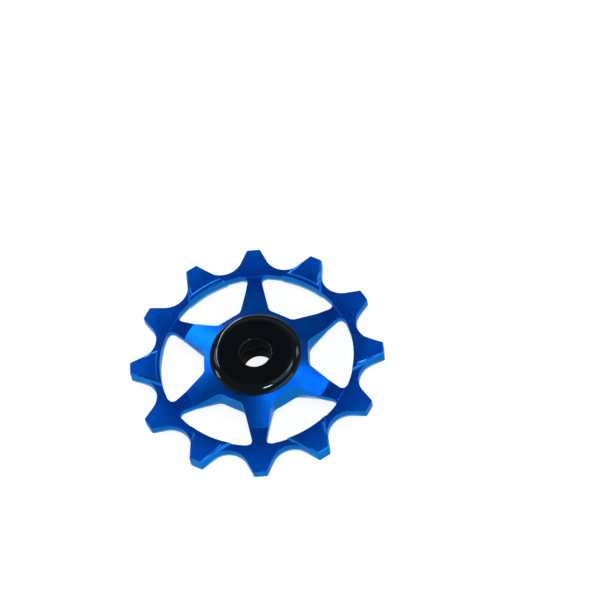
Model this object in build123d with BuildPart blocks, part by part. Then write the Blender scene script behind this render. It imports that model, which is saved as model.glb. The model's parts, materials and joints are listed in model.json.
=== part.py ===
"""Derailleur jockey wheel for a half-inch bicycle chain.

A toothed aluminium wheel, with narrow and wide teeth by turns, runs on a sealed ball bearing that two
end caps hold on the pulley bolt. The origin is the middle of the wheel on its axle, +Z runs along the
axle, and one spoke with its narrow tooth points to +Y. Sizes are in millimetres and degrees.
"""

import os
from math import cos, radians, sin, sqrt, tan

from build123d import *

# Chain and teeth
chain_pitch = 12.7
roller_diameter = 7.75
tooth_pairs = 6
seat_radius = 4.28
flank_lean = 25.0
tip_height = 0.465
tip_corner_radius = 0.35
tip_chamfer = 0.2
narrow_tooth_thickness = 2.0
wide_tooth_thickness = 3.2

# Raised pads of the wide teeth
pad_inset = 0.7
pad_step_width = 0.2
pad_crest_width = 5.64
pad_crest_lean = 19.3
pad_foot_lean = 27.0
pad_foot_margin = 0.07
pad_shoulder_rise = 0.7
pad_shoulder_share = 0.4

# Rim, spokes and hub
rim_wall = 1.61
rim_thickness = 2.8
rim_step_width = 0.22
spoke_thickness = 1.5
spoke_end_width = 2.32
spoke_lean = 10.9
spoke_flat_length = 3.5
hub_wall = 2.25
hub_land = 0.8
window_hub_corner = 1.5
window_rim_corner = 1.1
window_rim_cut = 0.05
hub_bore_chamfer = 0.2

# Bearing
bearing_bore = 8.0
bearing_outside = 16.0
bearing_width = 5.0
ring_chamfer = 0.2
ball_diameter = 2.381
ball_count = 9
race_clearance = 0.02
groove_conformity = 0.525
shoulder_height = 0.46

# Seals
seal_recess = 0.7
seal_bead = 0.48
seal_groove_depth = 0.4
seal_lip_catch = 0.2
seal_fit_clearance = 0.02
seal_bead_width = 0.3
seal_disc_thickness = 0.3
seal_running_clearance = 0.06

# Ball cage
cage_running_clearance = 0.2
cage_seal_gap = 0.3
cage_prong_height = 0.75
pocket_clearance = 0.06
prong_slot_width = 0.7
prong_slot_floor = 0.2

# End caps
overall_width = 7.2
bolt_bore = 6.0
bore_mouth_radius = 0.4
cap_overlap = 1.05
cap_clearance = 0.3
cap_edge_width = 1.6
cap_edge_crown = 0.085
cap_crest_radius = 1.6
cap_rim_radius = 0.08
cap_rim_wall = 0.08
cap_lower_edge = 0.05
cap_boss_inset = 0.25
spigot_gap = 0.2
spigot_chamfer = 0.2

# How far a cutting shape runs past the faces it cuts
overrun = 2.0
relief_overrun = 0.25

# Angles and radii that follow from the sizes above
tooth_count = 2 * tooth_pairs
tooth_angle = 360 / tooth_count
spoke_angle = 360 / tooth_pairs
first_spoke = 90.0
pitch_radius = chain_pitch / 2 / sin(radians(tooth_angle / 2))
root_radius = pitch_radius - roller_diameter / 2
tip_radius = pitch_radius + tip_height
pad_crest_radius = root_radius - pad_inset
pad_foot_radius = pad_crest_radius - pad_step_width
rim_inner_radius = root_radius - rim_wall
rim_step_radius = rim_inner_radius - rim_step_width
cone_end_radius = rim_step_radius - spoke_flat_length
bearing_radius = bearing_outside / 2
hub_face_radius = bearing_radius + hub_land
window_inner = bearing_radius + hub_wall
narrow_half = narrow_tooth_thickness / 2
wide_half = wide_tooth_thickness / 2
rim_half = rim_thickness / 2
spoke_half = spoke_thickness / 2
bearing_half = bearing_width / 2

ball_radius = ball_diameter / 2
ball_pitch_radius = (bearing_bore + bearing_outside) / 4
groove_radius = groove_conformity * ball_diameter
outer_groove = ball_pitch_radius + ball_radius + race_clearance
inner_groove = ball_pitch_radius - ball_radius - race_clearance
outer_land = outer_groove - shoulder_height
inner_land = inner_groove + shoulder_height
groove_half = sqrt(groove_radius**2 - (groove_radius - shoulder_height) ** 2)
seal_seat = bearing_half - seal_recess
seal_groove = outer_land + seal_groove_depth

cap_radius = bearing_radius + cap_overlap
cap_top = overall_width / 2
cap_under = bearing_half + cap_clearance
cap_boss = inner_land - cap_boss_inset
spigot_radius = bearing_bore / 2
spigot_end = spigot_gap / 2
bolt_radius = bolt_bore / 2

os.makedirs("parts", exist_ok=True)


# Gap between two teeth, about +X: a roller seat, two straight flanks and the rounded tooth corners
gap_lean = flank_lean + tooth_angle / 2
flank_direction = Vector(cos(radians(gap_lean)), sin(radians(gap_lean)))
flank_normal = Vector(-sin(radians(gap_lean)), cos(radians(gap_lean)))
seat_centre = Vector(root_radius + seat_radius, 0)
seat_end = seat_centre + flank_normal * seat_radius
corner_start = seat_centre + flank_normal * (seat_radius + tip_corner_radius)
corner_orbit = tip_radius - tip_corner_radius
corner_along = corner_start.dot(flank_direction)
corner_reach = sqrt(corner_along**2 - corner_start.length**2 + corner_orbit**2) - corner_along
corner_centre = corner_start + flank_direction * corner_reach
flank_end = corner_centre - flank_normal * tip_corner_radius
tip_end = corner_centre.normalized() * tip_radius
corner_bisector = (tip_end + flank_end - corner_centre * 2).normalized()
corner_middle = corner_centre + corner_bisector * tip_corner_radius
gap_mouth = tip_end.normalized() * (tip_radius + overrun)

with BuildSketch() as tooth_gap:
    with BuildLine():
        side = [
            Line(seat_end, flank_end),
            ThreePointArc(flank_end, corner_middle, tip_end),
            Line(tip_end, gap_mouth),
        ]
        mirror(objects=side, about=Plane.XZ)
        ThreePointArc(seat_end, (root_radius, 0), (seat_end.X, -seat_end.Y))
        Line(gap_mouth, (gap_mouth.X, -gap_mouth.Y))
    make_face()

# Window between two spokes, about +X: a straight hub edge, two spoke sides and the rim's arc
spoke_end_half = spoke_end_width / 2
window_reach = rim_inner_radius + window_rim_cut
spoke_end_reach = sqrt(window_reach**2 - spoke_end_half**2)
window_outer = Vector(spoke_end_reach, -spoke_end_half).rotate(Axis.Z, spoke_angle / 2)
side_angle = spoke_lean + spoke_angle / 2
side_run = (window_outer.X - window_inner) * tan(radians(side_angle))
window_corner = Vector(window_inner, window_outer.Y - side_run)

with BuildSketch() as window:
    with BuildLine():
        spoke_side = Line(window_corner, window_outer)
        mirror(objects=[spoke_side], about=Plane.XZ)
        ThreePointArc(window_outer, (window_reach, 0), (window_outer.X, -window_outer.Y))
        Line(window_corner, (window_corner.X, -window_corner.Y))
    make_face()
    fillet(window.vertices().sort_by(Axis.X)[:2], window_hub_corner)
    fillet(window.vertices().sort_by(Axis.X)[-2:], window_rim_corner)

# Relief that thins one narrow tooth, about +X, between the pads of the two wide teeth beside it
flank_foot = seat_end.rotate(Axis.Z, -tooth_angle / 2)
relief_in = rim_inner_radius - overrun
relief_out = (tip_radius + overrun) / cos(radians(tooth_angle))
pad_height = wide_half - narrow_half
crest_run = (1 - pad_shoulder_share) / (1 - pad_shoulder_rise)
relief_levels = (
    (0, 0),
    (pad_shoulder_rise, pad_shoulder_share),
    (1 + relief_overrun, 1 + relief_overrun * crest_run),
)


def pad_half_width(reach: float, share: float) -> float:
    """Half width of a wide tooth's pad, at a distance along the tooth and a share of its slope's width."""
    foot = -flank_foot.Y + (flank_foot.X - reach) * tan(radians(pad_foot_lean))
    foot += pad_foot_margin / cos(radians(pad_foot_lean))
    crest = pad_crest_width / 2 + (pad_crest_radius - reach) * tan(radians(pad_crest_lean))
    return foot + (crest - foot) * share


with BuildPart() as relief:
    for rise, share in relief_levels:
        inner = Vector(relief_in, -pad_half_width(relief_in, share)).rotate(Axis.Z, tooth_angle)
        outer = Vector(relief_out, -pad_half_width(relief_out, share)).rotate(Axis.Z, tooth_angle)
        with BuildSketch(Plane.XY.offset(narrow_half + pad_height * rise)):
            with BuildLine():
                Polyline(inner, outer, (outer.X, -outer.Y), (inner.X, -inner.Y), close=True)
            make_face()
    loft(ruled=True)
    mirror(about=Plane.XY)

# Toothed wheel: a turned blank with its windows, narrow teeth and roller gaps cut
with BuildPart() as toothed_wheel:
    with BuildSketch(Plane.XZ):
        with BuildLine():
            Polyline(
                (bearing_radius, 0),
                (bearing_radius, bearing_half - hub_bore_chamfer),
                (bearing_radius + hub_bore_chamfer, bearing_half),
                (hub_face_radius, bearing_half),
                (cone_end_radius, spoke_half),
                (rim_step_radius, spoke_half),
                (rim_inner_radius, rim_half),
                (pad_foot_radius, rim_half),
                (pad_crest_radius, wide_half),
                (tip_radius - tip_chamfer, wide_half),
                (tip_radius, wide_half - tip_chamfer),
                (tip_radius, 0),
            )
            mirror(about=Plane.XZ)
        make_face()
    revolve(axis=Axis.Z)
    with BuildSketch():
        with PolarLocations(0, tooth_pairs, start_angle=first_spoke + spoke_angle / 2):
            add(window.sketch)
    extrude(amount=bearing_width, both=True, mode=Mode.SUBTRACT)
    with PolarLocations(0, tooth_pairs, start_angle=first_spoke):
        add(relief.part, mode=Mode.SUBTRACT)
    with BuildSketch():
        with PolarLocations(0, tooth_count, start_angle=first_spoke + tooth_angle / 2):
            add(tooth_gap.sketch)
    extrude(amount=bearing_width, both=True, mode=Mode.SUBTRACT)
toothed_wheel.part.label = "toothed_wheel"
export_step(toothed_wheel.part, "parts/toothed_wheel.step")

# Outer ring: pressed into the hub, with a ball groove and a recess for a seal at each side
with BuildPart() as bearing_outer_ring:
    with BuildSketch(Plane.XZ):
        with BuildLine():
            Polyline(
                (outer_land, groove_half),
                (outer_land, seal_seat),
                (seal_groove, seal_seat),
                (seal_groove, seal_seat + seal_bead),
                (seal_groove - seal_lip_catch, seal_seat + seal_bead),
                (seal_groove - seal_lip_catch, bearing_half),
                (bearing_radius - ring_chamfer, bearing_half),
                (bearing_radius, bearing_half - ring_chamfer),
                (bearing_radius, 0),
            )
            mirror(about=Plane.XZ)
            ThreePointArc((outer_land, groove_half), (outer_groove, 0), (outer_land, -groove_half))
        make_face()
    revolve(axis=Axis.Z)
bearing_outer_ring.part.label = "bearing_outer_ring"
export_step(bearing_outer_ring.part, "parts/bearing_outer_ring.step")

# Inner ring: held on the caps' spigots, between their shoulders
with BuildPart() as bearing_inner_ring:
    with BuildSketch(Plane.XZ):
        with BuildLine():
            Polyline(
                (inner_land, groove_half),
                (inner_land, bearing_half - ring_chamfer),
                (inner_land - ring_chamfer, bearing_half),
                (spigot_radius + ring_chamfer, bearing_half),
                (spigot_radius, bearing_half - ring_chamfer),
                (spigot_radius, 0),
            )
            mirror(about=Plane.XZ)
            ThreePointArc((inner_land, groove_half), (inner_groove, 0), (inner_land, -groove_half))
        make_face()
    revolve(axis=Axis.Z)
bearing_inner_ring.part.label = "bearing_inner_ring"
export_step(bearing_inner_ring.part, "parts/bearing_inner_ring.step")

# Balls
for number, place in enumerate(PolarLocations(ball_pitch_radius, ball_count), start=1):
    with BuildPart() as ball:
        with Locations(place):
            Sphere(ball_radius)
    ball.part.label = f"ball_{number}"
    export_step(ball.part, f"parts/ball_{number}.step")

# Ball cage: a crown whose prongs close over the balls, with a slot between each two pockets
cage_inside = inner_land + cage_running_clearance
cage_outside = outer_land - cage_running_clearance
cage_back = seal_seat - cage_seal_gap
slot_radius = prong_slot_width / 2
slot_centre = prong_slot_floor + slot_radius

with BuildPart() as ball_cage:
    with BuildSketch(Plane.XY.offset(-cage_back)):
        Circle(cage_outside)
        Circle(cage_inside, mode=Mode.SUBTRACT)
    extrude(amount=cage_back + cage_prong_height)
    with PolarLocations(ball_pitch_radius, ball_count):
        Sphere(ball_radius + pocket_clearance, mode=Mode.SUBTRACT)
    with BuildSketch(Plane.YZ.offset(cage_inside - cage_running_clearance)) as slot:
        with Locations((0, slot_centre)):
            Circle(slot_radius)
        with Locations((0, slot_centre + cage_prong_height / 2)):
            Rectangle(prong_slot_width, cage_prong_height)
    slot_cut = extrude(amount=cage_outside - cage_inside + 2 * cage_running_clearance, mode=Mode.PRIVATE)
    with PolarLocations(0, ball_count, start_angle=180 / ball_count):
        add(slot_cut, mode=Mode.SUBTRACT)
ball_cage.part.label = "ball_cage"
export_step(ball_cage.part, "parts/ball_cage.step")

# Seals: a bead snapped into the outer ring's groove, a thin disc and a lip that runs close to the inner ring
seal_outside = seal_groove - seal_fit_clearance
seal_inside = inner_land + seal_running_clearance
seal_top = seal_seat + seal_bead - seal_fit_clearance
seal_bead_inside = seal_outside - seal_bead_width
disc_low = seal_seat + (seal_bead - seal_disc_thickness) / 2
disc_high = disc_low + seal_disc_thickness
lip_reach = seal_inside + seal_bead_width

for name, section in (("top_seal", Plane.XZ), ("bottom_seal", -Plane.XZ)):
    with BuildPart() as seal:
        with BuildSketch(section):
            with BuildLine():
                Polyline(
                    (seal_outside, seal_seat),
                    (seal_outside, seal_top),
                    (seal_bead_inside, seal_top),
                    (seal_bead_inside, disc_high),
                    (lip_reach, disc_high),
                    (seal_inside, seal_top),
                    (seal_inside, disc_low),
                    (seal_bead_inside, disc_low),
                    (seal_bead_inside, seal_seat),
                    close=True,
                )
            make_face()
        revolve(axis=Axis.Z)
    seal.part.label = name
    export_step(seal.part, f"parts/{name}.step")

# End caps: a flange with a crowned, sloping edge, a shoulder on the inner ring and a spigot in its bore
cap_flat = cap_radius - cap_edge_width
cap_wall_foot = cap_under + cap_lower_edge
cap_rim_top = cap_wall_foot + cap_rim_wall
mouth_bottom = cap_top - bore_mouth_radius
mouth_arc = bore_mouth_radius * sqrt(0.5)
mouth_middle = (bolt_radius + bore_mouth_radius - mouth_arc, mouth_bottom + mouth_arc)

for name, section in (("top_cap", Plane.XZ), ("bottom_cap", -Plane.XZ)):
    with BuildPart() as cap:
        with BuildSketch(section) as cap_section:
            with BuildLine():
                Line((bolt_radius + bore_mouth_radius, cap_top), (cap_flat, cap_top))
                SagittaArc((cap_flat, cap_top), (cap_radius, cap_rim_top), cap_edge_crown)
                Polyline(
                    (cap_radius, cap_rim_top),
                    (cap_radius, cap_wall_foot),
                    (cap_radius - cap_lower_edge, cap_under),
                    (cap_boss, cap_under),
                    (cap_boss, bearing_half),
                    (spigot_radius, bearing_half),
                    (spigot_radius, spigot_end + spigot_chamfer),
                    (spigot_radius - spigot_chamfer, spigot_end),
                    (bolt_radius + spigot_chamfer, spigot_end),
                    (bolt_radius, spigot_end + spigot_chamfer),
                    (bolt_radius, mouth_bottom),
                )
                ThreePointArc(
                    (bolt_radius, mouth_bottom), mouth_middle, (bolt_radius + bore_mouth_radius, cap_top)
                )
            make_face()
            fillet(cap_section.vertices().group_by(Axis.X)[-1].sort_by(Axis.Y)[-1], cap_rim_radius)
            fillet(cap_section.vertices().group_by(Axis.Y)[-1].sort_by(Axis.X)[-1], cap_crest_radius)
        revolve(axis=Axis.Z)
    cap.part.label = name
    export_step(cap.part, f"parts/{name}.step")
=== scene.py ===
"""Looks of a derailleur jockey wheel: blue anodised teeth on a sealed bearing with black end caps.

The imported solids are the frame. The toothed wheel and the end caps are rebuilt here with broken edges, the
bearing's pieces keep their solids, and every surface gets its finish. Lengths are in metres, angles in
degrees unless a name says otherwise, and colours are linear red, green and blue.
"""

import json
import logging
import math
from dataclasses import dataclass
from enum import Enum
from typing import ClassVar, Iterable, Union

import bmesh
import bpy
import numpy as np
from mathutils import Matrix, Vector

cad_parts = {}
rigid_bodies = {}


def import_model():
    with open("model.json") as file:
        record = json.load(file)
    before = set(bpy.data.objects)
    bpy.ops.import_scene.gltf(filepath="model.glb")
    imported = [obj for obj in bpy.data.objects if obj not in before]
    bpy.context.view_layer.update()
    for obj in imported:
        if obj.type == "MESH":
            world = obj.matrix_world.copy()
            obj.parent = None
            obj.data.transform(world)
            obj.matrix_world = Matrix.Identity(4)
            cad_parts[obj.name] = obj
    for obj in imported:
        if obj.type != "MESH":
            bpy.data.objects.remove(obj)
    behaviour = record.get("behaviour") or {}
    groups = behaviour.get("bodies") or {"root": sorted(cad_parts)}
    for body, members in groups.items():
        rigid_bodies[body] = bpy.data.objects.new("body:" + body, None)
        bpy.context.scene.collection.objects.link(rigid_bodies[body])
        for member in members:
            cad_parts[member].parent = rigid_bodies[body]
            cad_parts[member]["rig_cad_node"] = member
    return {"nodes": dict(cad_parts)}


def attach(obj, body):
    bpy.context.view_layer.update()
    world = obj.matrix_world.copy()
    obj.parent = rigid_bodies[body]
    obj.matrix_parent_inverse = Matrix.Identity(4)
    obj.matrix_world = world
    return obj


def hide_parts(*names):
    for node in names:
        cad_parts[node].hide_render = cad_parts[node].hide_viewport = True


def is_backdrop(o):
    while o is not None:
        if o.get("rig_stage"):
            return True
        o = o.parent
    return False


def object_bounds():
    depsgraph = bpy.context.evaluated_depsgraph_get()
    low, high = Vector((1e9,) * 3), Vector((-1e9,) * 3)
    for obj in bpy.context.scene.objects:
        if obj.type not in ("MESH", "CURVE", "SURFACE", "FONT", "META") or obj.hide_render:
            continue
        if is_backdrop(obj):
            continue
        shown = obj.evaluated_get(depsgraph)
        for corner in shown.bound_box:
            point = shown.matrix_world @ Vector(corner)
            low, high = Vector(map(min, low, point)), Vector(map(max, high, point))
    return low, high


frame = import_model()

MM = 0.001
NOISE_SPAN = (0.3, 0.7)  # where nearly all of a noise pattern's values lie
LOG = logging.getLogger("jockey_wheel")

Colour = tuple[float, float, float]
Point = tuple[float, float]
Source = Union[bpy.types.NodeSocket, float, Colour]


class Body(Enum):
    """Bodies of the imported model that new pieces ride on."""

    AXLE = "axle"
    WHEEL = "wheel"


class Slot(Enum):
    """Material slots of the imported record."""

    BLUE = "blue_anodised"
    BLACK = "cap_black"
    RING_STEEL = "bearing_steel"
    BALL_STEEL = "ball_steel"
    NYLON = "cage_nylon"
    RUBBER = "seal_rubber"


class Side(Enum):
    """The two faces of the wheel, by the sign of their Z."""

    TOP = 1.0
    BOTTOM = -1.0


class ShaderGraph:
    """Adds nodes to one shader tree and links them."""

    def __init__(self, tree: bpy.types.NodeTree) -> None:
        """Starts with an empty tree."""
        self.tree = tree
        tree.nodes.clear()

    def node(self, kind: str, **settings: object) -> bpy.types.Node:
        """Adds one node.

        Args:
            kind: Type of the node, such as ShaderNodeMath.
            settings: Properties of the node, by name.

        Returns:
            The new node.
        """
        made = self.tree.nodes.new(kind)
        for key, value in settings.items():
            setattr(made, key, value)
        return made

    def feed(self, socket: bpy.types.NodeSocket, value: Source) -> None:
        """Links a socket to another one, or sets it to a number or a colour.

        Args:
            socket: Input to feed.
            value: Another node's output, a number, or a colour or vector of three numbers.
        """
        if isinstance(value, bpy.types.NodeSocket):
            self.tree.links.new(value, socket)
        elif isinstance(value, tuple) and len(socket.default_value) == 4:
            socket.default_value = (*value, 1.0)
        else:
            socket.default_value = value

    def math(self, operation: str, *terms: Source) -> bpy.types.NodeSocket:
        """Adds a Math node with the given terms and returns its output."""
        made = self.node("ShaderNodeMath", operation=operation)
        for socket, term in zip(made.inputs, terms):
            self.feed(socket, term)
        return made.outputs[0]

    def vector(self, operation: str, *terms: Source) -> bpy.types.Node:
        """Adds a Vector Math node with the given terms and returns it."""
        made = self.node("ShaderNodeVectorMath", operation=operation)
        for socket, term in zip(made.inputs, terms):
            self.feed(socket, term)
        return made

    def step(self, value: Source, start: float, end: float, low: float = 0.0, high: float = 1.0,
             smooth: bool = True) -> bpy.types.NodeSocket:
        """Maps a value that runs from start to end onto low to high, held at both ends.

        Args:
            value: The value to map.
            start: Value that gives low.
            end: Value that gives high.
            low: Result at and before start.
            high: Result at and after end.
            smooth: Whether the change eases in and out.

        Returns:
            The mapped value.
        """
        made = self.node("ShaderNodeMapRange", interpolation_type="SMOOTHSTEP" if smooth else "LINEAR")
        for name, term in (("Value", value), ("From Min", start), ("From Max", end),
                           ("To Min", low), ("To Max", high)):
            self.feed(made.inputs[name], term)
        return made.outputs["Result"]

    def blend(self, share: Source, first: Source, second: Source,
              mode: str = "MIX") -> bpy.types.NodeSocket:
        """Mixes two colours.

        Args:
            share: How much of the second colour shows, from 0 to 1.
            first: Colour at 0.
            second: Colour at 1.
            mode: How the second colour meets the first.

        Returns:
            The mixed colour.
        """
        made = self.node("ShaderNodeMix", data_type="RGBA", blend_type=mode)
        sockets = {socket.identifier: socket for socket in made.inputs}
        self.feed(sockets["Factor_Float"], share)
        self.feed(sockets["A_Color"], first)
        self.feed(sockets["B_Color"], second)
        return next(socket for socket in made.outputs if socket.identifier == "Result_Color")

    def noise(self, place: Source, size: float, detail: float = 2.0) -> bpy.types.NodeSocket:
        """Adds a noise pattern.

        Args:
            place: Where the pattern is read.
            size: Width of its patches, in metres.
            detail: How many finer layers it holds.

        Returns:
            The pattern, from 0 to 1 about one half.
        """
        made = self.node("ShaderNodeTexNoise")
        self.feed(made.inputs["Vector"], place)
        made.inputs["Scale"].default_value = 1.0 / size
        made.inputs["Detail"].default_value = detail
        return made.outputs["Fac"]

    def uneven(self, pattern: Source, middle: float, below: float = 0.06,
               above: float = 0.08) -> bpy.types.NodeSocket:
        """Spreads a roughness about its middle as a noise pattern goes.

        Args:
            pattern: The noise.
            middle: Roughness to spread.
            below: How far it falls where the noise is low.
            above: How far it rises where the noise is high.

        Returns:
            The roughness.
        """
        return self.step(pattern, *NOISE_SPAN, middle - below, middle + above)

    def bump(self, height: Source, depth: float,
             under: Union[bpy.types.NodeSocket, None] = None) -> bpy.types.NodeSocket:
        """Turns a height pattern into a tilted normal.

        Args:
            height: The pattern, from 0 to 1.
            depth: Height of the pattern in metres.
            under: Normal of a coarser pattern below this one.

        Returns:
            The normal.
        """
        made = self.node("ShaderNodeBump")
        made.inputs["Strength"].default_value = 1.0
        made.inputs["Distance"].default_value = depth
        self.feed(made.inputs["Height"], height)
        if under is not None:
            self.feed(made.inputs["Normal"], under)
        return made.outputs["Normal"]


@dataclass(frozen=True)
class SurfacePlace:
    """Where a point lies on a turned piece: outputs that the finishes' patterns read."""

    place: bpy.types.NodeSocket
    radius: bpy.types.NodeSocket
    height: bpy.types.NodeSocket
    facing: bpy.types.NodeSocket

    @classmethod
    def read(cls, graph: ShaderGraph) -> "SurfacePlace":
        """Reads a point's place, its radius from the axle, its height and how squarely it faces along it.

        Args:
            graph: Tree that the nodes go into.

        Returns:
            The four outputs. Facing is 1 on a flat face and 0 on an upright wall.
        """
        place = graph.node("ShaderNodeTexCoord").outputs["Object"]
        level = graph.vector("MULTIPLY", place, (1.0, 1.0, 0.0)).outputs["Vector"]
        radius = graph.vector("LENGTH", level)
        split_place = graph.node("ShaderNodeSeparateXYZ")
        graph.feed(split_place.inputs[0], place)
        split_normal = graph.node("ShaderNodeSeparateXYZ")
        graph.feed(split_normal.inputs[0], graph.node("ShaderNodeNewGeometry").outputs["Normal"])
        facing = graph.math("ABSOLUTE", split_normal.outputs["Z"])
        return cls(place, radius.outputs["Value"], split_place.outputs["Z"], facing)

    def turning(self, graph: ShaderGraph, pitch: float) -> bpy.types.NodeSocket:
        """Fine uneven rings about the axle, as a lathe tool leaves them.

        Args:
            graph: Tree that the nodes go into.
            pitch: Distance from ring to ring in metres.

        Returns:
            The pattern, from 0 to 1.
        """
        line = graph.node("ShaderNodeCombineXYZ")
        graph.feed(line.inputs["X"], self.radius)
        graph.feed(line.inputs["Y"], self.height)
        return graph.noise(line.outputs[0], pitch, detail=3.0)


@dataclass(frozen=True)
class Finish:
    """A finish: its slot in the record and the material that shows it."""

    name: str
    slot: Slot

    def material(self) -> bpy.types.Material:
        """Makes the material: a Principled shader that dress() fills in."""
        made = bpy.data.materials.new(self.name)
        made.use_nodes = True
        graph = ShaderGraph(made.node_tree)
        shader = graph.node("ShaderNodeBsdfPrincipled")
        output = graph.node("ShaderNodeOutputMaterial")
        graph.feed(output.inputs["Surface"], shader.outputs["BSDF"])
        self.dress(graph, shader)
        return made

    def dress(self, graph: ShaderGraph, shader: bpy.types.Node) -> None:
        """Feeds the shader. Each finish does this in its own way.

        Args:
            graph: Tree of the material.
            shader: Its Principled shader.
        """
        raise NotImplementedError

    def apply(self, *pieces: bpy.types.Object) -> None:
        """Gives pieces this finish as their only material.

        Args:
            pieces: The objects to dress.
        """
        material = self.material()
        for piece in pieces:
            piece.data.materials.clear()
            piece.data.materials.append(material)


@dataclass(frozen=True)
class AnodisedBlue(Finish):
    """Satin blue anodised aluminium: painted shade deepens the milled faces, painted light brightens slopes
    and cut walls.
    """

    # face, cone and wall colours differ by which way the surface faces: painted shade on faces, painted light
    # on slopes and walls
    face: Colour = (0.0012, 0.072, 0.56)
    tip: Colour = (0.0016, 0.150, 0.98)
    cone: Colour = (0.0014, 0.105, 0.63)
    # painted highlight: the pads' slopes are coloured lighter to stand for the lamps' light on them
    painted_pad_highlight: Colour = (0.0070, 0.155, 0.64)
    wall: Colour = (0.0025, 0.140, 0.45)
    # painted light: a pale band at the walls' lower edges, standing for the white floor's light on them
    painted_foot_light: Colour = (0.36, 0.52, 0.80)
    edge_tint: Colour = (0.52, 0.70, 0.96)
    slope_facing: tuple[float, float] = (0.25, 0.45)
    face_facing: tuple[float, float] = (0.972, 0.992)
    tip_start: float = 17.5 * MM
    tip_end: float = 24.5 * MM
    pad_highlight_start: float = 18.6 * MM
    pad_highlight_end: float = 19.4 * MM
    foot_light_start: float = 0.6
    foot_light_radii: tuple[float, float, float, float] = (10.5 * MM, 13.0 * MM, 22.5 * MM, 24.8 * MM)
    roughness: float = 0.30
    smoother: float = 0.04
    rougher: float = 0.05
    turned_gloss: float = 0.06
    ring_pitch: float = 0.09 * MM
    ring_depth: float = 0.0012 * MM
    grain_size: float = 0.05 * MM
    grain_depth: float = 0.0010 * MM
    mottle_size: float = 2.6 * MM
    mottle: float = 0.10
    streak_size: float = 0.16 * MM
    streak_squash: float = 0.02
    speck: Colour = (0.30, 0.52, 0.85)
    speck_spacing: float = 1.3 * MM
    speck_radius: float = 0.085
    speck_share: float = 0.10

    def dress(self, graph: ShaderGraph, shader: bpy.types.Node) -> None:
        """Colour by zone and radius with painted shade and light and a faint mottle, and fine rings on faces
        and streaks on walls.

        Args:
            graph: Tree of the material.
            shader: Its Principled shader.
        """
        at = SurfacePlace.read(graph)
        # zones by facing: painted shade on flat faces, painted light on the cone, the slopes and the walls
        on_slope = graph.step(at.facing, *self.slope_facing)
        on_face = graph.step(at.facing, *self.face_facing)
        to_tip = graph.step(at.radius, self.tip_start, self.tip_end)
        wall_map = graph.node("ShaderNodeUVMap", uv_map=ToothedWheel.foot_light_map)
        wall_place = graph.node("ShaderNodeSeparateXYZ")
        graph.feed(wall_place.inputs[0], wall_map.outputs["UV"])
        # painted light: walls turn pale towards their lower edge, between the hub and the tips
        near_hub, past_hub, near_tip, at_tip = self.foot_light_radii
        foot = graph.math("MULTIPLY", graph.step(at.radius, near_hub, past_hub),
                          graph.step(at.radius, near_tip, at_tip, 1.0, 0.0))
        foot = graph.math("MULTIPLY", foot, graph.step(wall_place.outputs["X"], self.foot_light_start, 1.0))
        walls = graph.blend(foot, self.wall, self.painted_foot_light)
        # painted highlight on the pads' slopes, from the pads' inner radius outwards
        pad_highlight_mask = graph.step(at.radius, self.pad_highlight_start, self.pad_highlight_end)
        cut = graph.blend(on_slope, walls, graph.blend(pad_highlight_mask, self.cone, self.painted_pad_highlight))
        colour = graph.blend(on_face, cut, graph.blend(to_tip, self.face, self.tip))
        cloud = graph.noise(at.place, self.mottle_size, detail=4.0)
        shade = graph.step(cloud, *NOISE_SPAN, 1.0 - self.mottle, 1.0 + self.mottle)
        colour = graph.blend(self.specks(graph, at), colour, self.speck)
        tone = graph.vector("SCALE", colour)
        graph.feed(tone.inputs["Scale"], shade)
        graph.feed(shader.inputs["Base Color"], tone.outputs["Vector"])
        shader.inputs["Metallic"].default_value = 1.0
        shader.inputs["Specular Tint"].default_value = (*self.edge_tint, 1.0)

        rings = at.turning(graph, self.ring_pitch)
        grain = graph.noise(at.place, self.grain_size, detail=3.0)
        upright = graph.vector("MULTIPLY", at.place, (1.0, 1.0, self.streak_squash)).outputs["Vector"]
        streaks = graph.noise(upright, self.streak_size)
        spread = graph.uneven(grain, self.roughness, self.smoother, self.rougher)
        turned = graph.math("MULTIPLY", graph.math("SUBTRACT", on_slope, on_face), self.turned_gloss)
        graph.feed(shader.inputs["Roughness"], graph.math("SUBTRACT", spread, turned))
        tooled = graph.node("ShaderNodeMix", data_type="FLOAT")
        graph.feed(tooled.inputs[0], on_slope)
        graph.feed(tooled.inputs[2], streaks)
        graph.feed(tooled.inputs[3], rings)
        lines = graph.bump(tooled.outputs[0], self.ring_depth)
        graph.feed(shader.inputs["Normal"], graph.bump(grain, self.grain_depth, lines))

    def specks(self, graph: ShaderGraph, at: SurfacePlace) -> bpy.types.NodeSocket:
        """Scattered pale specks, as dust and nicks leave on the dye.

        Args:
            graph: Tree that the nodes go into.
            at: Place on the piece.

        Returns:
            1 on a speck and 0 elsewhere. Each cell of a scatter has one dot, and a small share shows.
        """
        scatter = graph.node("ShaderNodeTexVoronoi")
        graph.feed(scatter.inputs["Vector"], at.place)
        scatter.inputs["Scale"].default_value = 1.0 / self.speck_spacing
        chance = graph.node("ShaderNodeSeparateColor")
        graph.feed(chance.inputs[0], scatter.outputs["Color"])
        dot = graph.step(scatter.outputs["Distance"], self.speck_radius / 2.0, self.speck_radius, 1.0, 0.0)
        return graph.math("MULTIPLY", dot, graph.math("LESS_THAN", chance.outputs[0], self.speck_share))


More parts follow.
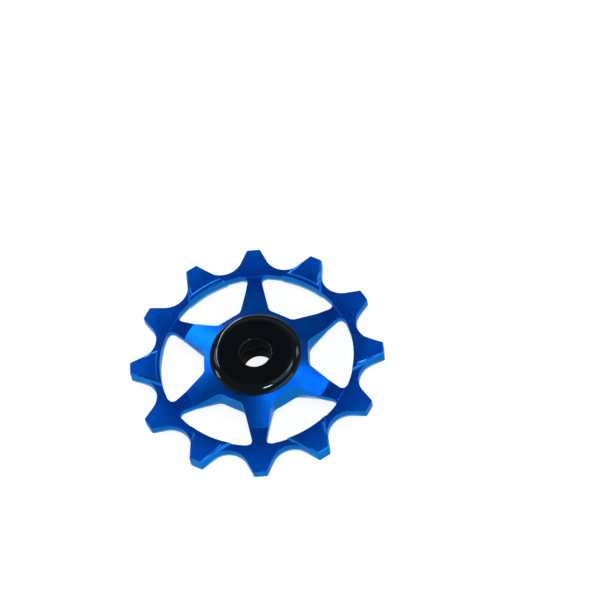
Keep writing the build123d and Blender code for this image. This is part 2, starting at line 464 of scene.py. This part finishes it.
@dataclass(frozen=True)
class CapBlack(Finish):
    """Hard black coat on a turned cap: glossy, nearly black, with the lathe's fine rings just showing."""

    colour: Colour = (0.0008, 0.0014, 0.0026)
    worn: Colour = (0.0016, 0.0024, 0.0040)
    roughness: float = 0.07
    smoother: float = 0.02
    rougher: float = 0.04
    gloss_span: tuple[float, float] = (0.3, 0.75)
    worn_span: tuple[float, float] = (0.35, 0.75)
    density: float = 1.34
    sheen: Colour = (0.65, 0.9, 1.0)
    ring_pitch: float = 0.07 * MM
    ring_depth: float = 0.0005 * MM
    cloud_size: float = 1.8 * MM

    def dress(self, graph: ShaderGraph, shader: bpy.types.Node) -> None:
        """Near-black colour with faint handling marks, and gloss from rings and dust.

        Args:
            graph: Tree of the material.
            shader: Its Principled shader.
        """
        at = SurfacePlace.read(graph)
        cloud = graph.noise(at.place, self.cloud_size, detail=5.0)
        colour = graph.blend(graph.step(cloud, *self.worn_span), self.colour, self.worn)
        graph.feed(shader.inputs["Base Color"], colour)
        rings = at.turning(graph, self.ring_pitch)
        gloss = graph.step(cloud, *self.gloss_span, self.roughness - self.smoother,
                           self.roughness + self.rougher)
        graph.feed(shader.inputs["Roughness"], gloss)
        graph.feed(shader.inputs["Normal"], graph.bump(rings, self.ring_depth))
        shader.inputs["IOR"].default_value = self.density
        shader.inputs["Specular Tint"].default_value = (*self.sheen, 1.0)


@dataclass(frozen=True)
class BoreBlack(Finish):
    """The caps' bore: the same black, left matt by the reamer, with its fine rings along the axle."""

    colour: Colour = (0.0025, 0.0036, 0.0060)
    paler_rings: Colour = (0.0055, 0.0080, 0.0120)
    roughness: float = 0.5
    density: float = 1.06
    ring_pitch: float = 0.08 * MM
    ring_depth: float = 0.002 * MM

    def dress(self, graph: ShaderGraph, shader: bpy.types.Node) -> None:
        """Dull black, a little paler along the reamer's rings.

        Args:
            graph: Tree of the material.
            shader: Its Principled shader.
        """
        at = SurfacePlace.read(graph)
        rings = at.turning(graph, self.ring_pitch)
        graph.feed(shader.inputs["Base Color"], graph.blend(rings, self.colour, self.paler_rings))
        graph.feed(shader.inputs["Roughness"], graph.uneven(rings, self.roughness))
        graph.feed(shader.inputs["Normal"], graph.bump(rings, self.ring_depth))
        shader.inputs["IOR"].default_value = self.density


@dataclass(frozen=True)
class GroundSteel(Finish):
    """Bearing steel, ground bright: grey metal with fine rings about the axle."""

    colour: Colour = (0.50, 0.50, 0.51)
    dull: Colour = (0.40, 0.40, 0.41)
    roughness: float = 0.22
    ring_pitch: float = 0.06 * MM
    ring_depth: float = 0.0008 * MM
    cloud_size: float = 1.2 * MM

    def dress(self, graph: ShaderGraph, shader: bpy.types.Node) -> None:
        """Grey metal, a little duller in a slow cloud, with ground rings as bump and roughness.

        Args:
            graph: Tree of the material.
            shader: Its Principled shader.
        """
        at = SurfacePlace.read(graph)
        cloud = graph.noise(at.place, self.cloud_size, detail=3.0)
        graph.feed(shader.inputs["Base Color"], graph.blend(cloud, self.colour, self.dull))
        shader.inputs["Metallic"].default_value = 1.0
        rings = at.turning(graph, self.ring_pitch)
        graph.feed(shader.inputs["Roughness"], graph.uneven(rings, self.roughness))
        graph.feed(shader.inputs["Normal"], graph.bump(rings, self.ring_depth))


@dataclass(frozen=True)
class LappedSteel(Finish):
    """Ball steel, lapped to a mirror, with a trace of grease on it."""

    colour: Colour = (0.60, 0.61, 0.63)
    greased: Colour = (0.52, 0.50, 0.44)
    clean_roughness: float = 0.05
    greased_roughness: float = 0.2
    smear_size: float = 0.7 * MM
    smear_span: tuple[float, float] = (0.5, 0.72)

    def dress(self, graph: ShaderGraph, shader: bpy.types.Node) -> None:
        """Bright metal whose grease smears are warmer and less sharp.

        Args:
            graph: Tree of the material.
            shader: Its Principled shader.
        """
        at = SurfacePlace.read(graph)
        smear = graph.step(graph.noise(at.place, self.smear_size, detail=3.0), *self.smear_span)
        graph.feed(shader.inputs["Base Color"], graph.blend(smear, self.colour, self.greased))
        gloss = graph.step(smear, 0.0, 1.0, self.clean_roughness, self.greased_roughness)
        graph.feed(shader.inputs["Roughness"], gloss)
        shader.inputs["Metallic"].default_value = 1.0


@dataclass(frozen=True)
class Moulded(Finish):
    """A moulded plastic or rubber: one colour with a faint cloud and a fine matt grain."""

    colour: Colour = (0.012, 0.012, 0.013)
    pale: Colour = (0.022, 0.022, 0.023)
    roughness: float = 0.5
    grain_size: float = 0.08 * MM
    grain_depth: float = 0.003 * MM
    cloud_size: float = 1.5 * MM

    def dress(self, graph: ShaderGraph, shader: bpy.types.Node) -> None:
        """Clouded colour, with the mould's grain as bump and roughness.

        Args:
            graph: Tree of the material.
            shader: Its Principled shader.
        """
        at = SurfacePlace.read(graph)
        cloud = graph.noise(at.place, self.cloud_size, detail=4.0)
        grain = graph.noise(at.place, self.grain_size)
        graph.feed(shader.inputs["Base Color"], graph.blend(cloud, self.colour, self.pale))
        graph.feed(shader.inputs["Roughness"], graph.uneven(grain, self.roughness))
        graph.feed(shader.inputs["Normal"], graph.bump(grain, self.grain_depth))


def shown(name: str, mesh: bpy.types.Mesh, body: Body, node: str) -> bpy.types.Object:
    """Puts a mesh into the scene as a piece that stands for a solid of the frame.

    Args:
        name: Name of the piece.
        mesh: Its mesh, already in place.
        body: Body that it rides on.
        node: Solid that it stands for.

    Returns:
        The new object, at the origin.
    """
    piece = bpy.data.objects.new(name, mesh)
    bpy.context.scene.collection.objects.link(piece)
    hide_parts(node)
    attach(piece, body.value)
    return piece


def turned_mesh(name: str, outline: np.ndarray, steps: int) -> bpy.types.Mesh:
    """A closed outline carried once round the axle.

    A point at outline parameter u and turn angle v lies at (r(u) cos v, r(u) sin v, z(u)). Both parameters
    close on themselves, so the surface is a ring without seam or pole. An outline that runs clockwise in
    radius and height, out along the top and back below, has its faces outwards.

    Args:
        name: Name of the mesh.
        outline: Array of shape (n, 2) with the radius and height of each outline point.
        steps: Number of steps round the axle.

    Returns:
        The mesh, shaded smooth.
    """
    turn = np.arange(steps) * (2.0 * np.pi / steps)
    radius, height = outline[:, 0], outline[:, 1]
    grid = np.stack([
        np.outer(np.cos(turn), radius),
        np.outer(np.sin(turn), radius),
        np.broadcast_to(height, (steps, len(height))),
    ], axis=-1)
    index = np.arange(steps * len(radius)).reshape(steps, len(radius))
    ahead = np.roll(index, -1, axis=0)
    quads = np.stack([index, ahead, np.roll(ahead, -1, axis=1), np.roll(index, -1, axis=1)], axis=-1)
    mesh = bpy.data.meshes.new(name)
    mesh.from_pydata(grid.reshape(-1, 3), [], quads.reshape(-1, 4))
    mesh.shade_smooth()
    mesh.validate()
    return mesh


def rounded_outline(corners: Iterable[tuple[float, float, float]], steps: int) -> np.ndarray:
    """A closed outline whose corners are replaced by tangent arcs.

    At each corner the arc of radius q touches both sides at q / tan(half the corner's angle) from the
    corner, and its points are spread evenly over the turn.

    Args:
        corners: Radius, height and arc radius of each corner, in order round the outline.
        steps: Number of steps along each arc.

    Returns:
        Array of shape (n, 2) with the outline's points.
    """
    table = np.array(list(corners))
    spot, bend = table[:, :2], table[:, 2]
    back = np.roll(spot, 1, axis=0) - spot
    ahead = np.roll(spot, -1, axis=0) - spot
    back /= np.linalg.norm(back, axis=1, keepdims=True)
    ahead /= np.linalg.norm(ahead, axis=1, keepdims=True)
    half = np.arccos(np.clip(np.sum(back * ahead, axis=1), -1.0, 1.0)) / 2.0
    bisector = back + ahead
    bisector /= np.linalg.norm(bisector, axis=1, keepdims=True)
    centre = spot + bisector * (bend / np.sin(half))[:, None]
    start = spot + back * (bend / np.tan(half))[:, None] - centre
    turn = np.sign(back[:, 0] * ahead[:, 1] - back[:, 1] * ahead[:, 0]) * (2.0 * half - np.pi)
    angle = turn[:, None] * np.linspace(0.0, 1.0, steps + 1)[None, :]
    arc_x = start[:, :1] * np.cos(angle) - start[:, 1:] * np.sin(angle)
    arc_y = start[:, :1] * np.sin(angle) + start[:, 1:] * np.cos(angle)
    return (centre[:, None, :] + np.stack([arc_x, arc_y], axis=-1)).reshape(-1, 2)


@dataclass
class ToothedWheel:
    """The aluminium wheel, from its solid, with its sharp edges lightly broken."""

    name: str = "toothed_wheel_blue"
    node: str = "toothed_wheel"
    edge_break: float = 0.08 * MM
    break_segments: int = 2
    crease_angle: float = 9.0
    break_angle: float = 50.0
    flat_angle: float = 0.3
    slope_start: float = 19.3 * MM
    slope_facing: tuple[float, float] = (0.2, 0.996)
    shoulder_angle: float = 45.0
    cone_start: float = 9.0 * MM
    cone_end: float = 16.2 * MM
    # UV map that places the painted pale light at the walls' feet
    foot_light_map: ClassVar[str] = "foot"

    def build(self) -> bpy.types.Object:
        """Joins the solid's loose triangles, marks its creases and breaks its edges.

        Returns:
            The finished wheel.
        """
        source = bpy.data.objects[self.node].data
        corners = np.empty(len(source.loops), np.int32)
        source.loops.foreach_get("vertex_index", corners)
        spots = np.empty(len(source.vertices) * 3, np.float32)
        source.vertices.foreach_get("co", spots)
        normals = np.empty(len(source.loops) * 3, np.float32)
        source.corner_normals.foreach_get("vector", normals)
        spots, same = np.unique(spots.reshape(-1, 3), axis=0, return_inverse=True)
        triangles = same.reshape(-1)[corners].reshape(-1, 3)
        mesh = bpy.data.meshes.new(self.name)
        mesh.from_pydata(spots, [], triangles)
        mesh.shade_smooth()
        self.map_walls(mesh)
        self.mark_creases(mesh, spots, triangles, normals.reshape(-1, 3, 3))
        self.join_flats(mesh)
        wheel = shown(self.name, mesh, Body.WHEEL, self.node)
        bevel = wheel.modifiers.new("edge_break", "BEVEL")
        bevel.width = self.edge_break
        bevel.segments = self.break_segments
        bevel.limit_method = "WEIGHT"
        bevel.use_clamp_overlap = False
        bevel.loop_slide = False
        smooth = wheel.modifiers.new("even_faces", "WEIGHTED_NORMAL")
        smooth.keep_sharp = True
        return wheel

    def map_walls(self, mesh: bpy.types.Mesh) -> None:
        """Maps every wall from 0 at its upper edge to 1 at its lower edge, as the first UV coordinate, for
        the painted pale light at the walls' feet.

        A corner above the wheel's middle plane has 0 and one below it has 1, and every wall runs from a
        corner of one kind to a corner of the other.

        Args:
            mesh: The joined mesh.
        """
        corners = np.empty(len(mesh.loops), np.int32)
        mesh.loops.foreach_get("vertex_index", corners)
        spots = np.empty(len(mesh.vertices) * 3, np.float32)
        mesh.vertices.foreach_get("co", spots)
        below = (spots.reshape(-1, 3)[corners, 2] < 0.0).astype(np.float32)
        layer = mesh.uv_layers.new(name=self.foot_light_map)
        layer.uv.foreach_set("vector", np.stack([below, np.zeros_like(below)], axis=-1).reshape(-1))

    def mark_creases(self, mesh: bpy.types.Mesh, spots: np.ndarray, triangles: np.ndarray,
                     normals: np.ndarray) -> None:
        """Marks each edge where the solid's surface folds, and gives the sharp ones a weight to be broken.

        The fold at an edge is the larger of the two angles between the surface normals that the triangles
        on its sides have at its two ends. The edges of the pads' slopes and the windows' edges on the cone
        stay as they are cut, and the shoulder within a slope is smooth.

        Args:
            mesh: The joined mesh.
            spots: Its points.
            triangles: Vertex numbers of its triangles.
            normals: Surface normal at each triangle's three corners.
        """
        reach = np.linalg.norm(spots[triangles].mean(axis=1)[:, :2], axis=1)
        facing = np.abs(normals[:, :, 2]).mean(axis=1)
        steepest, flattest = self.slope_facing
        sloped = (reach > self.slope_start) & (facing > steepest) & (facing < flattest)
        start, end = triangles.reshape(-1), np.roll(triangles, -1, axis=1).reshape(-1)
        at_start, at_end = normals.reshape(-1, 3), np.roll(normals, -1, axis=1).reshape(-1, 3)
        forward = (start < end)[:, None]
        low, high = np.where(forward, at_start, at_end), np.where(forward, at_end, at_start)
        count = len(mesh.vertices)
        key = np.minimum(start, end).astype(np.int64) * count + np.maximum(start, end)
        order = np.argsort(key, kind="stable").reshape(-1, 2)
        first, second = order[:, 0], order[:, 1]
        likeness = np.minimum(np.sum(low[first] * low[second], axis=1),
                              np.sum(high[first] * high[second], axis=1))
        fold = np.degrees(np.arccos(np.clip(likeness, -1.0, 1.0)))
        ends = np.empty(len(mesh.edges) * 2, np.int32)
        mesh.edges.foreach_get("vertices", ends)
        ends = np.sort(ends.reshape(-1, 2), axis=1).astype(np.int64)
        match = np.searchsorted(key[first], ends[:, 0] * count + ends[:, 1])
        fold = fold[match]
        sides = np.stack([sloped[first // 3], sloped[second // 3]], axis=-1)[match]
        middle = np.linalg.norm(spots[ends].mean(axis=1)[:, :2], axis=1)
        on_cone = (middle > self.cone_start) & (middle < self.cone_end)
        broken = (fold >= self.break_angle) & ~sides.any(axis=1) & ~on_cone
        smooth = sides.all(axis=1) & (fold < self.shoulder_angle)
        sharp = mesh.attributes.new("sharp_edge", "BOOLEAN", "EDGE")
        sharp.data.foreach_set("value", (fold > self.crease_angle) & ~broken & ~smooth)
        weight = mesh.attributes.new("bevel_weight_edge", "FLOAT", "EDGE")
        weight.data.foreach_set("value", broken.astype(np.float32))

    def join_flats(self, mesh: bpy.types.Mesh) -> None:
        """Joins triangles that lie in one plane, so that the broken edges run along whole faces."""
        edit = bmesh.new()
        edit.from_mesh(mesh)
        bmesh.ops.dissolve_limit(edit, angle_limit=math.radians(self.flat_angle), verts=edit.verts[:],
                                 edges=edit.edges[:], delimit={"SHARP"})
        edit.to_mesh(mesh)
        edit.free()

    def dress(self, wheel: bpy.types.Object, finish: Finish) -> None:
        """Gives the finished wheel its one finish."""
        finish.apply(wheel)


@dataclass
class EndCap:
    """A black turned cap: flange with a crowned edge, a shoulder on the bearing and a spigot in it."""

    side: Side
    node: str
    top: float = 3.6 * MM
    radius: float = 9.05 * MM
    flat_radius: float = 7.40 * MM
    crest_radius: float = 2.1 * MM
    slope_radius: float = 8.34 * MM
    slope_foot: float = 3.395 * MM
    roll_radius: float = 3.7 * MM
    rim_radius: float = 0.06 * MM
    rim_top: float = 2.905 * MM
    rim_foot: float = 2.85 * MM
    under: float = 2.8 * MM
    under_radius: float = 9.0 * MM
    boss_radius: float = 5.0 * MM
    boss_end: float = 2.5 * MM
    spigot_radius: float = 4.0 * MM
    spigot_end: float = 0.1 * MM
    spigot_chamfer: float = 0.2 * MM
    bore_radius: float = 3.0 * MM
    mouth_radius: float = 0.4 * MM
    lower_corner: float = 0.01 * MM
    inner_corner: float = 0.05 * MM
    bore_limit: float = 3.03 * MM
    face_limit: float = 7.2 * MM
    arc_steps: int = 8
    turn_steps: int = 192

    def outline(self) -> np.ndarray:
        """Section of the cap on the top side.

        Returns:
            Array of shape (n, 2) with the radius and height of each point, clockwise.
        """
        face = [
            (self.bore_radius, self.top, self.mouth_radius),
            (self.flat_radius, self.top, self.crest_radius),
            (self.slope_radius, self.slope_foot, self.roll_radius),
            (self.radius, self.rim_top, self.rim_radius),
            (self.radius, self.rim_foot, self.lower_corner),
            (self.under_radius, self.under, self.lower_corner),
        ]
        chamfer_top = self.spigot_end + self.spigot_chamfer
        inside = [
            (self.boss_radius, self.under),
            (self.boss_radius, self.boss_end),
            (self.spigot_radius, self.boss_end),
            (self.spigot_radius, chamfer_top),
            (self.spigot_radius - self.spigot_chamfer, self.spigot_end),
            (self.bore_radius + self.spigot_chamfer, self.spigot_end),
            (self.bore_radius, chamfer_top),
        ]
        return rounded_outline(face + [(*spot, self.inner_corner) for spot in inside], self.arc_steps)

    def build(self) -> bpy.types.Object:
        """Turns the section round the axle, on this cap's side of the wheel.

        Returns:
            The finished cap.
        """
        outline = self.outline() * np.array([1.0, self.side.value])
        if self.side is Side.BOTTOM:
            outline = outline[::-1]
        name = f"{self.node}_black"
        return shown(name, turned_mesh(name, outline, self.turn_steps), Body.AXLE, self.node)

    def dress(self, cap: bpy.types.Object, coat: Finish, bore: Finish, edge: Finish) -> None:
        """Gives the cap its coat, and its bore and the rounded edge of its face finishes of their own.

        Args:
            cap: The finished cap.
            coat: Finish of all that can be seen outside.
            bore: Finish of the bore.
            edge: Finish of the rounded edge.
        """
        coat.apply(cap)
        cap.data.materials.append(bore.material())
        cap.data.materials.append(edge.material())
        centres = np.empty(len(cap.data.polygons) * 3, np.float32)
        cap.data.polygons.foreach_get("center", centres)
        reach = np.linalg.norm(centres.reshape(-1, 3)[:, :2], axis=1)
        zone = np.select([reach < self.bore_limit, reach > self.face_limit], [1, 2], 0)
        cap.data.polygons.foreach_set("material_index", zone)


@dataclass
class Bearing:
    """The sealed ball bearing, whose pieces keep their solids and get their finishes."""

    rings: tuple[str, ...] = ("bearing_outer_ring", "bearing_inner_ring")
    ball_start: str = "ball_"
    cage: str = "ball_cage"
    seals: tuple[str, ...] = ("top_seal", "bottom_seal")
    nylon: Colour = (0.72, 0.68, 0.57)
    nylon_shade: Colour = (0.62, 0.57, 0.46)
    nylon_roughness: float = 0.42

    def dress(self, nodes: dict[str, bpy.types.Object]) -> list[str]:
        """Gives the bearing's solids their finishes.

        Args:
            nodes: The frame's solids by name.

        Returns:
            Names of the solids that were dressed.
        """
        balls = sorted(name for name in nodes if name.startswith(self.ball_start) and name != self.cage)
        nylon = Moulded("cage_nylon", Slot.NYLON, self.nylon, self.nylon_shade, self.nylon_roughness)
        finishes = {
            GroundSteel("ring_steel", Slot.RING_STEEL): self.rings,
            LappedSteel("ball_steel", Slot.BALL_STEEL): balls,
            nylon: [self.cage],
            Moulded("seal_rubber", Slot.RUBBER): self.seals,
        }
        for finish, names in finishes.items():
            finish.apply(*(nodes[name] for name in names))
        return [name for names in finishes.values() for name in names]


@dataclass(frozen=True)
class SoftBox:
    """A soft lamp seen from the wheel: where it stands, how wide it looks, how bright it is, how it leans."""

    name: str
    elevation: float
    direction: float
    width: float
    height: float
    radiance: float
    lean: float = 0.0
    distance: float = 0.7

    def place(self) -> bpy.types.Object:
        """Hangs the lamp at its distance from the origin, turned to it.

        Returns:
            The lamp.
        """
        lift, turn = math.radians(self.elevation), math.radians(self.direction)
        reach = math.cos(lift)
        towards = Vector((reach * math.cos(turn), reach * math.sin(turn), math.sin(lift)))
        lamp = bpy.data.lights.new(self.name, "AREA")
        lamp.shape = "RECTANGLE"
        lamp.size = 2.0 * self.distance * math.tan(math.radians(self.width) / 2.0)
        lamp.size_y = 2.0 * self.distance * math.tan(math.radians(self.height) / 2.0)
        lamp.energy = self.radiance * math.pi * lamp.size * lamp.size_y
        holder = bpy.data.objects.new(self.name, lamp)
        holder.location = towards * self.distance
        facing = towards.to_track_quat("Z", "Y").to_matrix()
        holder.rotation_euler = (facing @ Matrix.Rotation(math.radians(self.lean), 3, "Z")).to_euler()
        bpy.context.scene.collection.objects.link(holder)
        return holder


@dataclass
class Studio:
    """White floor, dim ceiling, bright horizon, soft boxes and the camera."""

    floor_size: float = 6.0
    floor_albedo: float = 0.35
    floor_glow: float = 0.85
    horizon: float = 1.0
    ceiling: float = 0.19
    horizon_top: float = 0.35
    ceiling_start: float = 0.85
    dark_direction: float = 97.0
    dark_lean: float = 0.7
    boxes: tuple[SoftBox, ...] = (
        SoftBox("strip_left", 40.0, 125.0, 2.4, 36.0, 10.8, lean=-17.0),
        SoftBox("strip_high", 51.0, 130.3, 2.4, 12.0, 8.0, lean=-21.0),
        SoftBox("strip_low", 11.5, 111.0, 2.4, 28.0, 12.0, lean=-31.0),
        SoftBox("box_left", 44.0, 138.0, 14.0, 14.0, 1.8),
        SoftBox("box_side", 40.0, 170.0, 10.0, 8.0, 6.0),
        SoftBox("box_right", 65.5, 39.0, 8.0, 8.0, 3.0),
        SoftBox("card_right", 72.0, 32.0, 22.0, 22.0, 0.9),
        SoftBox("box_low_right", 42.0, 38.0, 10.0, 12.0, 3.2),
        SoftBox("box_above", 79.5, -57.0, 8.0, 3.0, 46.0),
        SoftBox("card_back", 34.0, 84.0, 64.0, 16.0, 0.18),
        SoftBox("card_front", 40.0, -38.0, 46.0, 30.0, 1.2),
    )
    view_azimuth: float = 10.56
    view_elevation: float = 59.85
    view_roll: float = -13.86
    view_distance: float = 0.697
    frame_pixels: float = 600.0
    focal_pixels: float = 3556.0
    wheel_pixel: Point = (257.18, 361.46)
    sensor: float = 36.0
    clip_start: float = 0.02

    def build(self, floor_height: float) -> None:
        """Sets up the floor, the world, the lamps and the camera.

        Args:
            floor_height: Height of the object's lowest point.
        """
        self.lay_floor(floor_height)
        self.light_world()
        for box in self.boxes:
            box.place()
        self.aim_camera()
        bpy.context.scene.view_settings.view_transform = "Standard"

    def lay_floor(self, height: float) -> None:
        """Lays a white floor that keeps a faint shadow.

        Args:
            height: Height of the floor.
        """
        half = self.floor_size / 2.0
        mesh = bpy.data.meshes.new("floor")
        mesh.from_pydata([(-half, -half, height), (half, -half, height), (half, half, height),
                          (-half, half, height)], [], [(0, 1, 2, 3)])
        floor = bpy.data.objects.new("floor", mesh)
        bpy.context.scene.collection.objects.link(floor)
        material = bpy.data.materials.new("white_floor")
        material.use_nodes = True
        graph = ShaderGraph(material.node_tree)
        matt = graph.node("ShaderNodeBsdfDiffuse")
        graph.feed(matt.inputs["Color"], (self.floor_albedo,) * 3)
        ray = graph.node("ShaderNodeLightPath")
        seen = graph.math("MAXIMUM", ray.outputs["Is Camera Ray"], ray.outputs["Is Glossy Ray"])
        seen = graph.math("MAXIMUM", seen, ray.outputs["Is Transmission Ray"])
        glow = graph.node("ShaderNodeEmission")
        graph.feed(glow.inputs["Strength"], graph.math("MULTIPLY", seen, self.floor_glow))
        both = graph.node("ShaderNodeAddShader")
        graph.feed(both.inputs[0], matt.outputs[0])
        graph.feed(both.inputs[1], glow.outputs[0])
        output = graph.node("ShaderNodeOutputMaterial")
        graph.feed(output.inputs["Surface"], both.outputs[0])
        mesh.materials.append(material)
        floor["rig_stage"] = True

    def light_world(self) -> None:
        """Lights the room: white round the horizon, dim overhead and dimmer towards the back."""
        world = bpy.data.worlds.new("studio")
        world.use_nodes = True
        graph = ShaderGraph(world.node_tree)
        dark = math.radians(self.dark_direction)
        lean = (self.dark_lean * math.cos(dark), self.dark_lean * math.sin(dark), 0.0)
        ray = graph.node("ShaderNodeTexCoord").outputs["Generated"]
        rise = graph.vector("DOT_PRODUCT", ray, (0.0, 0.0, 1.0)).outputs["Value"]
        back = graph.math("MAXIMUM", graph.vector("DOT_PRODUCT", ray, lean).outputs["Value"], 0.0)
        depth = graph.math("ADD", rise, back)
        level = graph.step(depth, self.horizon_top, self.ceiling_start, self.horizon, self.ceiling)
        background = graph.node("ShaderNodeBackground")
        graph.feed(background.inputs["Strength"], level)
        graph.feed(background.inputs["Color"], (1.0, 1.0, 1.0))
        output = graph.node("ShaderNodeOutputWorld")
        graph.feed(output.inputs["Surface"], background.outputs[0])
        bpy.context.scene.world = world

    def aim_camera(self) -> None:
        """Places the camera so that the wheel's centre falls on its pixel, with no shift of the lens."""
        azimuth, elevation = math.radians(self.view_azimuth), math.radians(self.view_elevation)
        roll = math.radians(self.view_roll)
        level = Vector((math.cos(azimuth), math.sin(azimuth), 0.0))
        ahead = Vector((-math.sin(azimuth) * math.cos(elevation), math.cos(azimuth) * math.cos(elevation),
                        -math.sin(elevation)))
        rolled = Matrix.Rotation(-roll, 3, ahead) @ level
        upright = rolled.cross(ahead)
        off_x = (self.frame_pixels / 2.0 - self.wheel_pixel[0]) / self.focal_pixels
        off_y = (self.wheel_pixel[1] - self.frame_pixels / 2.0) / self.focal_pixels
        sight = (ahead + off_x * rolled + off_y * upright).normalized()
        right = sight.cross(upright).normalized()
        up = right.cross(sight)
        lens = bpy.data.cameras.new("camera")
        lens.sensor_width = self.sensor
        lens.lens = self.focal_pixels * self.sensor / self.frame_pixels
        lens.clip_start = self.clip_start
        camera = bpy.data.objects.new("camera", lens)
        turn = Matrix((right, up, -sight)).transposed().to_4x4()
        camera.matrix_world = Matrix.Translation(-ahead * self.view_distance) @ turn
        bpy.context.scene.collection.objects.link(camera)
        bpy.context.scene.camera = camera


def main() -> None:
    """Builds the pieces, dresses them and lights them."""
    logging.basicConfig(level=logging.INFO, format="%(name)s: %(message)s")
    solid_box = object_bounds()

    toothed = ToothedWheel()
    wheel = toothed.build()
    toothed.dress(wheel, AnodisedBlue("blue_anodised", Slot.BLUE))
    LOG.info("%s: %d faces before its edges are broken", wheel.name, len(wheel.data.polygons))

    for design in (EndCap(Side.TOP, "top_cap"), EndCap(Side.BOTTOM, "bottom_cap")):
        cap = design.build()
        design.dress(cap, CapBlack("cap_black", Slot.BLACK), BoreBlack("cap_bore", Slot.BLACK),
                     CapBlack("cap_edge", Slot.BLACK, roughness=0.05, density=1.5))
        LOG.info("%s: %d faces", cap.name, len(cap.data.polygons))

    for name in Bearing().dress(frame["nodes"]):
        LOG.info("%s: solid kept and dressed", name)

    Studio().build(solid_box[0][2])


if __name__ == "__main__":
    main()
